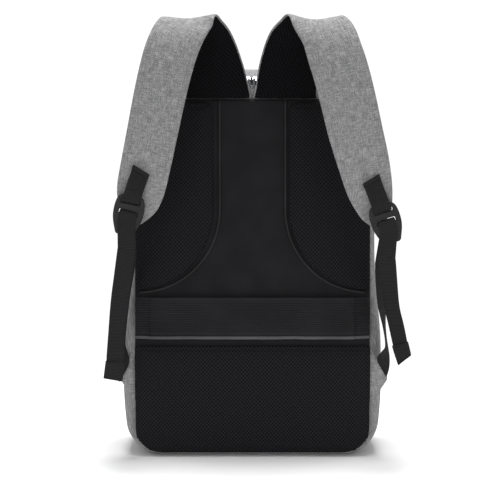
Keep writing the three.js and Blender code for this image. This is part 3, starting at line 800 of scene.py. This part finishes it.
def nearOutline(outline):
    dense = []
    for (x, z), (nextX, nextZ) in zip(outline, outline[1:] + outline[:1]):
        steps = max(1, int(math.hypot(nextX - x, nextZ - z)))
        dense += [(x + (nextX - x) * k / steps, z + (nextZ - z) * k / steps) for k in range(steps)]
    tree = kdtree.KDTree(len(dense))
    for number, (x, z) in enumerate(dense):
        tree.insert(mm(x, 0, z), number)
    tree.balance()
    return tree


# The pad swells under pressure while its back and its seam are held.
def swell(piece, tree):
    group = piece.vertex_groups.new(name="held")
    rest = [vert.co.copy() for vert in piece.data.vertices]
    for vert in piece.data.vertices:
        edge = tree.find(Vector((vert.co.x, 0, vert.co.z)))[2] * 1000
        if vert.co.y * 1000 > pads["rear"] - 1.5 or edge < 2.5:
            group.add([vert.index], 1.0, "REPLACE")
    cloth = piece.modifiers.new("swell", "CLOTH")
    cloth.settings.quality = 6
    cloth.settings.mass = 0.15
    cloth.settings.tension_stiffness = 12
    cloth.settings.bending_stiffness = 0.8
    cloth.settings.use_pressure = True
    cloth.settings.uniform_pressure_force = pads["pressure"]
    cloth.settings.effector_weights.gravity = 0
    cloth.settings.vertex_group_mass = "held"
    cloth.point_cache.frame_start = 1
    cloth.point_cache.frame_end = pads["frames"]
    scene = bpy.context.scene
    for number in range(1, pads["frames"] + 1):
        scene.frame_set(number)
    shaped = piece.evaluated_get(bpy.context.evaluated_depsgraph_get())
    swollen = [vert.co.copy() for vert in shaped.data.vertices]
    piece.modifiers.remove(cloth)
    scene.frame_set(1)
    for vert, start, end in zip(piece.data.vertices, rest, swollen):
        step = end - start
        if step.length > pads["cap"] / 1000:
            step = step.normalized() * pads["cap"] / 1000
        vert.co = start + step
    piece.vertex_groups.remove(group)


def makePad(name, node, outline):
    bm = bmesh.new()
    ring = startRing(bm, [mm(x, pads["rear"], z) for x, z in outline])
    face = bmesh.ops.contextual_create(bm, geom=ringEdges(bm, ring))["faces"]
    front = bmesh.ops.extrude_face_region(bm, geom=face)["geom"]
    verts = [item for item in front if isinstance(item, bmesh.types.BMVert)]
    bmesh.ops.translate(bm, verts=verts, vec=mm(0, -pads["thick"], 0))
    bmesh.ops.recalc_face_normals(bm, faces=bm.faces[:])
    piece = makePiece(bm, name, padMesh, (node,))
    grid = piece.modifiers.new("voxels", "REMESH")
    grid.mode = "VOXEL"
    grid.voxel_size = pads["voxel"] / 1000
    grid.use_smooth_shade = True
    shaped = piece.evaluated_get(bpy.context.evaluated_depsgraph_get())
    mesh = bpy.data.meshes.new_from_object(shaped)
    piece.modifiers.clear()
    old = piece.data
    piece.data = mesh
    bpy.data.meshes.remove(old)
    tree = nearOutline(outline)
    swell(piece, tree)
    bm = bmesh.new()
    bm.from_mesh(piece.data)
    bmesh.ops.subdivide_edges(bm, edges=bm.edges[:], cuts=1, use_grid_fill=True)
    axes = {"use_axis_x": True, "use_axis_y": True, "use_axis_z": True}
    bmesh.ops.smooth_vert(bm, verts=bm.verts[:], factor=0.5, **axes)
    for vert in bm.verts:
        if vert.co.y * 1000 < pads["rear"] - 2.5:
            edge = tree.find(Vector((vert.co.x, 0, vert.co.z)))[2] * 1000
            sewn = math.exp(-(((edge - pads["edge"]) / pads["sewWidth"]) ** 2))
            wave = pads["wave"] * noise.noise(vert.co * 26)
            vert.co.y += (pads["sewDepth"] * sewn + wave) / 1000
    bm.to_mesh(piece.data)
    bm.free()
    piece.data.shade_smooth()
    return piece


makePad("mesh_pad_left", "pad_upper_left", upperOutline(-1, upperPad["innerLeft"]))
makePad("mesh_pad_right", "pad_upper_right", upperOutline(1, upperPad["innerRight"]))
lowHalf = lowerPad["half"]
lowOutline = roundedOutline(
    -lowHalf, lowerPad["bottom"], lowHalf, lowerPad["top"], lowerPad["low"], lowerPad["high"]
)
makePad("mesh_pad_lower", "pad_lower", lowOutline)
print("pads made")

# Piping beside the channel
piping = {"half": 37.5, "radius": 1.45, "y": -71, "top": 410, "sweepZ": 285, "sweepX": 130.3, "drop": 95}


def makePiping(side, sign):
    line = [(piping["half"], piping["top"] - 5 * k) for k in range(25)]
    for k in range(21):
        angle = math.radians(4.5 * k)
        x = piping["sweepX"] - (piping["sweepX"] - piping["half"]) * math.cos(angle)
        line.append((x, piping["sweepZ"] - piping["drop"] * math.sin(angle)))
    points = [mm(sign * x, piping["y"], z) for x, z in line]
    places = frames(points, [Vector((sign, 0, 0.001))] * 24 + [Vector((sign, 0, 1))] * 22)
    circle = [(u * piping["radius"], v * piping["radius"]) for u, v in cornerArc(0, 0, 1, 0, 330, 11)]
    rings = [section(place, circle) for place in places]
    makePiece(loft(rings), f"piping_{side}", pipingCloth, (f"piping_upper_{side}",))


makePiping("left", -1)
makePiping("right", 1)

# The ribbed band over the pass-through for a trolley handle
band = {
    "bottom": 136,
    "top": 184,
    "face": -69.3,
    "thick": 1.4,
    "ribs": 14,
    "ribPitch": 2.65,
    "ribHeight": 0.8,
    "hemHigh": 3.8,
    "plainTop": 3.5,  # above the first rib
    "sag": 0.4,
}
# x of the band's right half and how far it stands off there
bandHalf = [(0, 6.3), (60, 6), (111, 5.2), (119, 2.4), (127, 0.3), (134.8, 0.3)]
bandArch = [(-x, out) for x, out in reversed(bandHalf[1:])] + bandHalf


def bandSag(x):
    return band["sag"] * noise.noise(Vector((x / 30, 0, 4)))


def makeBand():
    outer = []
    low = band["bottom"] + band["hemHigh"] + 0.6
    z = band["top"]
    while z > low:
        depth = (band["top"] - band["plainTop"] - z) / band["ribPitch"]
        wave = 0.5 - 0.5 * math.cos(2 * math.pi * depth) if 0 < depth < band["ribs"] else 0
        outer.append((z, band["thick"] + band["ribHeight"] * wave))
        z -= band["ribPitch"] / 6
    outer.append((low, band["thick"]))
    outline = [(low, 0.0), (band["top"], 0.0)] + outer
    rings = []
    arch = smoothRows(bandArch, 6)
    for x, out in arch:
        rings.append([mm(x, band["face"] - out - o, z + bandSag(x)) for z, o in outline])
    piece = makePiece(loft(rings), "band_ribbed", bandCloth, ("luggage_band",), sharp=60)
    hem = []
    middle = band["bottom"] + band["hemHigh"] / 2
    for x, out in arch:
        centre = mm(x, band["face"] - out - 1.5, middle + bandSag(x))
        ring = cornerArc(0, 0, 1, 0, 330, 11)
        hem.append([centre + mm(0, -v * 1.5, u * band["hemHigh"] / 2) for u, v in ring])
    # The hem is drawn in a lighter grey: a painted highlight along the band's folded lower edge.
    makePiece(loft(hem), "band_hem", hemHighlightCloth)


makeBand()
print("band made")

# The shoulder straps
# x, y, z of the middle line, width, thickness of the cover, thickness of the padding under it
leftStrap = [
    (-40.2, -68.9, 411.4, 77.7, 2.9, 4),
    (-41, -69, 419, 76, 3, 5),
    (-44.5, -72.5, 440, 71, 4.2, 7),
    (-50, -79, 462, 67, 4.6, 7.6),
    (-57, -87, 478.5, 65, 4.8, 7.6),
    (-64.5, -98, 488.8, 65, 4.8, 7.6),
    (-71, -108, 495.3, 64, 4.8, 7.6),
    (-76, -118, 490.8, 59.6, 4.8, 7.6),
    (-83.3, -127, 478.6, 58.6, 4.8, 7.6),
    (-90.4, -132.5, 461, 58.4, 4.8, 7.6),
    (-96.3, -135, 440, 58, 4.8, 7.6),
    (-103.2, -136.5, 410, 57.2, 4.8, 7.6),
    (-110.3, -137, 375, 56.2, 4.6, 7.4),
    (-117.6, -136, 340, 55.2, 4.4, 7),
    (-123.6, -133.5, 312, 53.5, 4, 6),
    (-126.9, -131, 295, 46.5, 3.4, 5),
    (-129.3, -129, 284, 35, 2.8, 4),
    (-130.9, -127.5, 276, 21, 2.2, 3),
    (-132, -126.7, 271.5, 10, 1.6, 2),
]
rightStrap = [
    (37.5, -68.9, 411.4, 75.1, 2.9, 4),
    (38.1, -69, 419, 71, 3, 5),
    (41, -72.5, 440, 70, 4.2, 7),
    (45.2, -79, 462, 66.8, 4.6, 7.6),
    (51.5, -87, 477, 66, 4.8, 7.6),
    (60, -98, 487.2, 66, 4.8, 7.6),
    (68, -108, 493.9, 66, 4.8, 7.6),
    (75, -118, 490.8, 61.6, 4.8, 7.6),
    (83.9, -127, 478.6, 61, 4.8, 7.6),
    (89.8, -132.5, 461, 61.7, 4.8, 7.6),
    (96.5, -135, 440, 62, 4.8, 7.6),
    (104.4, -136.5, 410, 61.5, 4.8, 7.6),
    (112.6, -137, 375, 60.3, 4.6, 7.4),
    (122, -136, 340, 57, 4.4, 7),
    (128.8, -133.5, 312, 51.5, 4, 6),
    (133.3, -131, 295, 43.7, 3.4, 5),
    (135.6, -129, 284, 35.5, 2.8, 4),
    (137.4, -127.5, 276, 25, 2.2, 3),
    (138.6, -126.6, 270, 14, 1.6, 2),
]
strap = {
    "gap": 0.25,
    "coverPower": 4.2,
    "meshPower": 3.2,
    "sewFrom": 6.5,
    "sewDepth": 0.45,
    "dent": 0.45,
    "rootRows": 10,  # rows over which the level root seam eases into the strap's own line
}


def coverTop(u, half, up):
    share = min(1, abs(u) / half)
    crown = (1 - share ** strap["coverPower"]) ** (1 / strap["coverPower"])
    sewn = math.exp(-(((abs(u) - (half - strap["sewFrom"])) / 1.1) ** 2))
    return strap["gap"] + (up - strap["gap"]) * crown - strap["sewDepth"] * sewn * min(1, up / 4)


def coverOutline(width, up, row):
    half = width / 2
    outline = [(half * t, strap["gap"]) for t in (-0.97, -0.6, -0.2, 0.2, 0.6, 0.97)]
    for k in range(45):
        angle = math.pi * k / 44
        reach = abs(math.cos(angle)) ** (2 / strap["coverPower"])
        u = half * math.copysign(reach, math.cos(angle))
        wander = strap["dent"] * noise.noise(Vector((u / 22, row / 9, width)))
        outline.append((u, coverTop(u, half, up) + wander * min(1, math.sin(angle) * 2)))
    return outline


def meshOutline(width, down, row):
    half = width / 2 - 1.5
    outline = [(half * t, -strap["gap"]) for t in (0.97, 0.6, 0.2, -0.2, -0.6, -0.97)]
    for k in range(29):
        angle = math.pi * k / 28
        reach = abs(math.cos(angle)) ** (2 / strap["meshPower"])
        deep = abs(math.sin(angle)) ** (2 / strap["meshPower"])
        u = -half * math.copysign(reach, math.cos(angle))
        wander = 0.6 * noise.noise(Vector((u / 26, row / 6, width + 5)))
        outline.append((u, -strap["gap"] - (down - strap["gap"]) * deep + wander * deep))
    return outline


def strapFrames(table):
    rows = smoothRows(table, 5)
    points = [mm(*row[:3]) for row in rows]
    acrosses = [Vector((1, 0, 0))] * len(rows)
    alongs = [None] * len(rows)
    for i in range(strap["rootRows"]):
        chord = (points[i + 1] - points[max(i - 1, 0)]).normalized()
        alongs[i] = Vector((0, 0, 1)).lerp(chord, i / strap["rootRows"]).normalized()
    return rows, frames(points, acrosses, None, alongs)


def makeStrap(side, table):
    rows, places = strapFrames(table)
    covers = [section(p, coverOutline(r[3], r[4], i)) for i, (p, r) in enumerate(zip(places, rows))]
    cover = makePiece(
        loft(covers), f"strap_cover_{side}", melange, (f"strap_{side}_cover",), levels=1
    )
    under = [section(p, meshOutline(r[3], r[5], i)) for i, (p, r) in enumerate(zip(places, rows))]
    # The padding's mesh carries painted shade: it is darker than the same mesh on the pads.
    mesh = makePiece(
        loft(under), f"strap_padding_{side}", strapMeshShaded, (f"strap_{side}_mesh",), levels=1
    )
    thread = bmesh.new()
    for sign in (-1, 1):
        line = []
        for place, row in zip(places[2:-6], rows[2:-6]):
            point, across, out = place
            u = row[3] / 2 - strap["sewFrom"]
            height = coverTop(u, row[3] / 2, row[4]) + 0.1
            line.append((point + (across * u * sign + out * height) / 1000, out))
        sewLine(thread, line)
    makePiece(thread, f"strap_stitches_{side}", greyThread)


makeStrap("left", leftStrap)
makeStrap("right", rightStrap)
print("straps made")

# The adjusters: tab, ladder lock and webbing on each side
lock = {
    "top": 19,
    "thick": 4.5,
    "slotHalf": 10.8,
    "topBarLow": 13.5,
    "slotHighLow": 9,
    "slotLowHigh": 1.7,
    "straightRun": 12,
    "lipTop": -3,
    "railLift": 1.2,
}
# Half the lock's width and the height of it, from its top to its narrow lip.
lockEdge = [(8, 19), (11, 18.2), (13.6, 16), (15.6, 12), (16.6, 6), (16.8, 0)]
lockEdge += [(16.4, -6), (15, -12), (13.2, -17), (11.4, -21.5), (10, -24.6), (8, -26)]
web = {"width": 20, "thick": 1.6, "gap": 0.3, "hemThick": 3.6}
tabHem = {"low": 44.6, "rows": ((44.2, 3.2), (46.6, 3.3), (48.6, 2.8)), "width": 20.6, "slope": 32}
foldRadius = lock["thick"] / 2 + web["gap"] + web["thick"] / 2
# Lock: middle, lean and the lean of its tab. Webbing: x, y, z, the turn of its width and how far
# the width falls toward +X. Lengths in mm, angles in degrees.
adjusters = {
    "left": {
        "strap": leftStrap,
        "lock": (-137, -141.2, 286, 12, 19.3),
        "tension": [
            (-149, -69.5, 94, 0, -60),
            (-150.3, -70.6, 107, 12, -30),
            (-152.8, -73, 119, 30, -8),
            (-154.3, -76, 135, 38, 0),
            (-149.6, -92, 183, 15, 0),
            (-140, -118, 233, 6, 0),
        ],
        "tail": [
            (-139, -144.6, 247, 0, 0),
            (-143.6, -142, 214, 4, 0),
            (-147.3, -139, 188, 10, 0),
            (-151.2, -135, 150.6, 24, 0),
            (-153.4, -132, 119, 12, 4),
        ],
        "hem": (-156.2, -130, 97.5, 0, 10),
    },
    "right": {
        "strap": rightStrap,
        "lock": (146.5, -141.2, 276.5, -17, -21.4),
        "tension": [
            (149.5, -69.4, 100, 0, 60),
            (151, -71.6, 110, 30, 34),
            (152.8, -75, 121, 62, 12),
            (153.3, -77, 132, 82, 0),
            (150.5, -82, 155, 78, 0),
            (147.5, -94, 183, 55, 0),
            (146, -118, 228, 20, 0),
        ],
        "tail": [
            (147, -146.8, 236, -10, 0),
            (150, -143.5, 210, -26, 0),
            (153.7, -139, 182, -36, 0),
            (159.2, -136, 159.5, -38, -6),
            (163.8, -134, 139, -41, -16),
        ],
        "hem": (169.4, -131, 119.4, -43, -36),
    },
}


def webOutline(width, thick):
    w = width / 2
    t = thick / 2
    top = [(w, -0.4 * t), (w, 0.4 * t), (w - 0.5, t), (w * 0.6, t), (w * 0.2, t)]
    top += [(-u, v) for u, v in reversed(top[2:])]
    return top + [(-u, -v) for u, v in top]


def leaning(degrees):
    angle = math.radians(degrees)
    return Vector((math.sin(angle), 0, math.cos(angle)))


def widthToward(swivel, slope):
    a = math.radians(swivel)
    b = math.radians(slope)
    return Vector((math.cos(a) * math.cos(b), math.sin(a) * math.cos(b), -math.sin(b)))


# A row of webbing beside a lock: up along it and out from its middle plane.
def besideLock(place, up, out):
    x, y, z, lean, _ = place
    point = mm(x, y - out, z) + leaning(lean) * up / 1000
    return point, widthToward(0, lean), web["width"], web["thick"], 0, None


def freeRows(rows, perGap, width=web["width"], thick=web["thick"]):
    made = []
    for x, y, z, swivel, slope in smoothRows(rows, perGap):
        skew = min(1, abs(slope) / 8)
        made.append((mm(x, y, z), widthToward(swivel, slope), width, thick, skew, None))
    return made


def bandThrough(rows):
    points, acrosses, widths, thicks, skews, alongs = zip(*rows)
    places = frames(points, acrosses, skews, alongs)
    return places, [section(p, webOutline(w, t)) for p, w, t in zip(places, widths, thicks)]


def strapFace(table, z):
    front = sorted((row[2], row[1] - row[4]) for row in table if row[1] < -108 and row[2] < 490)
    return readTable(front, z, 1)


def makeLock(side, place):
    hole = lock["slotHalf"]
    edge = smoothRows(lockEdge, 3)
    outlines = [
        edge + [(-u, v) for u, v in reversed(edge)],
        roundedOutline(-hole, lock["slotHighLow"], hole, lock["topBarLow"], 1.2, steps=4),
        roundedOutline(-hole, lock["lipTop"], hole, lock["slotLowHigh"], 1.2, steps=4),
    ]
    bm = plateFrom(outlines, lock["thick"], 0.9)
    for vert in bm.verts:
        beyond = clamped((abs(vert.co.x) * 1000 - 11.6) / 1.5)
        vert.co.y *= 1 + (lock["railLift"] - 1) * beyond
    x, y, z, lean, _ = place
    turn(bm, lean, "Y")
    shift(bm, mm(x, y, z))
    makePiece(bm, f"ladder_lock_{side}", acetal, (f"buckle_{side}",), sharp=35)


# The tab's own line above the lock: up along it, on so many layers of the strap, or free.
def tabRow(plan, up, layers, out=0, width=web["width"], thick=web["thick"]):
    x, y, z, lean, tabLean = plan["lock"]
    bar = mm(x, 0, z) + leaning(lean) * lock["topBarLow"] / 1000
    point = bar + leaning(tabLean) * (up - lock["topBarLow"]) / 1000
    share = clamped((up - lock["top"]) / (tabHem["low"] - lock["top"]))
    slope = lean + (math.copysign(tabHem["slope"], lean) - lean) * share
    if layers:
        out += y - strapFace(plan["strap"], point.z * 1000) + 4 * web["gap"]
        out += (layers - 0.5) * web["thick"] + (layers - 1) * web["gap"]
    point.y = (y - out) / 1000
    width /= math.cos(math.radians(slope - tabLean))
    return point, widthToward(0, slope), width, thick, 1, None


def makeTab(side, plan):
    rows = [tabRow(plan, up, 1) for up in (44, 40, 36, 33)]
    rows.append(tabRow(plan, lock["top"] + 1, 0, -foldRadius))
    for degrees in range(-90, 91, 18):
        angle = math.radians(degrees)
        up = lock["topBarLow"] - foldRadius * math.cos(angle)
        rows.append(besideLock(plan["lock"], up, foldRadius * math.sin(angle)))
    rows.append(tabRow(plan, lock["top"] + 1, 0, foldRadius))
    rows += [tabRow(plan, up, 2, 0.4) for up in (33, 36, 40)]
    rows.append(tabRow(plan, tabHem["low"] - 1.2, 2))
    rows += [tabRow(plan, up, 2, 0.3, tabHem["width"], thick) for up, thick in tabHem["rows"]]
    _, rings = bandThrough(rows)
    makePiece(loft(rings), f"tab_webbing_{side}", harnessWeb, (f"tab_{side}",), sharp=50)
    thread = bmesh.new()
    for up in (43.2, 38.5, 24.5):
        line = []
        for u in (-8.6, 0, 8.6):
            free = foldRadius + 0.95
            point, across, *_ = tabRow(plan, up, 2, 1.2) if up > 30 else tabRow(plan, up, 0, free)
            line.append((point + across * u / 1000, Vector((0, -1, 0))))
        sewLine(thread, line, 2.4, 1.9, 0.6)
    makePiece(thread, f"tab_stitches_{side}", blackThread)


def makeWebbingRun(side, plan):
    place = plan["lock"]
    under = -lock["straightRun"]
    rows = freeRows(plan["tension"], 5)
    along = leaning(place[3])
    rows.append(besideLock(place, under, -foldRadius)[:5] + (along,))
    for degrees in range(-90, 91, 18):
        angle = math.radians(degrees)
        up = lock["lipTop"] + foldRadius * math.cos(angle)
        rows.append(besideLock(place, up, foldRadius * math.sin(angle)))
    rows.append(besideLock(place, under, foldRadius)[:5] + (-along,))
    rows += freeRows(plan["tail"], 5)
    x, y, z, swivel, slope = plan["tail"][-1]
    hemStart = (x, y, z - 0.8, swivel, slope)
    hem = freeRows([hemStart, plan["hem"]], 8, web["width"] + 1.5, web["hemThick"])
    hem[-1] = hem[-1][:3] + (web["hemThick"] - 1,) + hem[-1][4:]
    rows += hem
    places, rings = bandThrough(rows)
    makePiece(loft(rings), f"webbing_run_{side}", harnessWeb, (f"webbing_{side}",), sharp=50)
    thread = bmesh.new()
    for point, across, out in (places[-8], places[-2]):
        for sign in (-1, 1):
            line = []
            for u in (-9, 0, 9):
                line.append((point + (across * u + out * sign * 1.85) / 1000, out * sign))
            sewLine(thread, line, 2.4, 1.9, 0.6)
    makePiece(thread, f"tail_stitches_{side}", blackThread)


for side, plan in adjusters.items():
    makeLock(side, plan["lock"])
    makeTab(side, plan)
    makeWebbingRun(side, plan)

# The grey wings at the lower sides
wing = {"rear": -65.4, "face": -67.8, "middle": (141.5, 93), "flat": (0.020, 0.066), "area": 0.00072}
wingOutlines = {
    "left": [(135.6, 128), (142.5, 112), (153, 93), (152.5, 88), (146, 78), (135.6, 64)],
    "right": [(135.6, 128), (143.5, 112), (155.5, 92), (155.5, 88), (147, 75), (135.6, 62)],
}


def makeWing(side, sign):
    middleX, middleZ = wing["middle"]
    rear = wing["rear"]
    top = wing["face"]
    plan = [(0.3, rear), (0.97, rear), (1, rear - 0.6), (1, top + 0.7), (0.96, top), (0.84, top + 0.1)]
    plan += [(0.78, top + 0.5), (0.7, top + 0.1), (0.3, top - 0.2)]
    rings = []
    for share, y in plan:
        ring = []
        for x, z in wingOutlines[side]:
            ring.append(mm(sign * (middleX + (x - middleX) * share), y, middleZ + (z - middleZ) * share))
        rings.append(ring)
    bm = loft(rings)
    mapFlat(bm, bm.faces)
    piece = makePiece(bm, f"wing_cloth_{side}", melange, (f"wing_{side}",), sharp=50)


makeWing("left", -1)
makeWing("right", 1)
print("harness made")


# Floor and light
def setStage():
    floor = {"size": 0.75, "colour": "#fbfbfb"}
    bm = bmesh.new()
    bmesh.ops.create_grid(bm, x_segments=1, y_segments=1, size=floor["size"])
    mesh = bpy.data.meshes.new("floor")
    bm.to_mesh(mesh)
    bm.free()
    material, shader = newMaterial("floor_paper", {"Roughness": 0.9, "Specular IOR Level": 0.1})
    shader.inputs["Base Color"].default_value = linear(floor["colour"])
    mesh.materials.append(material)
    piece = addObject("floor", mesh)
    piece.location.z = -0.0004
    world = bpy.data.worlds.new("studio")
    world.use_nodes = True
    backdrop = world.node_tree.nodes["Background"]
    backdrop.inputs["Color"].default_value = (1, 1, 1, 1)
    # The backdrop itself is white paper, and it sends less light than that onto the bag.
    ray = addNode(world, "ShaderNodeLightPath")
    strength = {"Value": ray.outputs["Is Camera Ray"], "To Min": 0.42, "To Max": 1.05}
    dimmed = addNode(world, "ShaderNodeMapRange", {}, strength)
    world.node_tree.links.new(dimmed.outputs["Result"], backdrop.inputs["Strength"])
    bpy.context.scene.world = world
    bpy.context.scene.view_settings.view_transform = "Standard"


# Place, aim and size in metres, power in watts.
lights = {
    "key": ((-0.8, -2.5, 0.55), (0, 0, 0.25), 1.6, 14),
    "fill": ((1.3, -2.3, 0.5), (0, 0, 0.25), 1.6, 10),
    "top": ((0, 0.08, 2.3), (0, 0, 0.2), 1.1, 62),
}


def addLight(name, place, aim, size, power):
    data = bpy.data.lights.new(name, "AREA")
    data.shape = "DISK"
    data.size = size
    data.energy = power
    light = addObject(name, data)
    light.location = place
    light.rotation_euler = (Vector(aim) - Vector(place)).to_track_quat("-Z", "Y").to_euler()


setStage()
for name, plan in lights.items():
    addLight(name, *plan)
print("stage set")
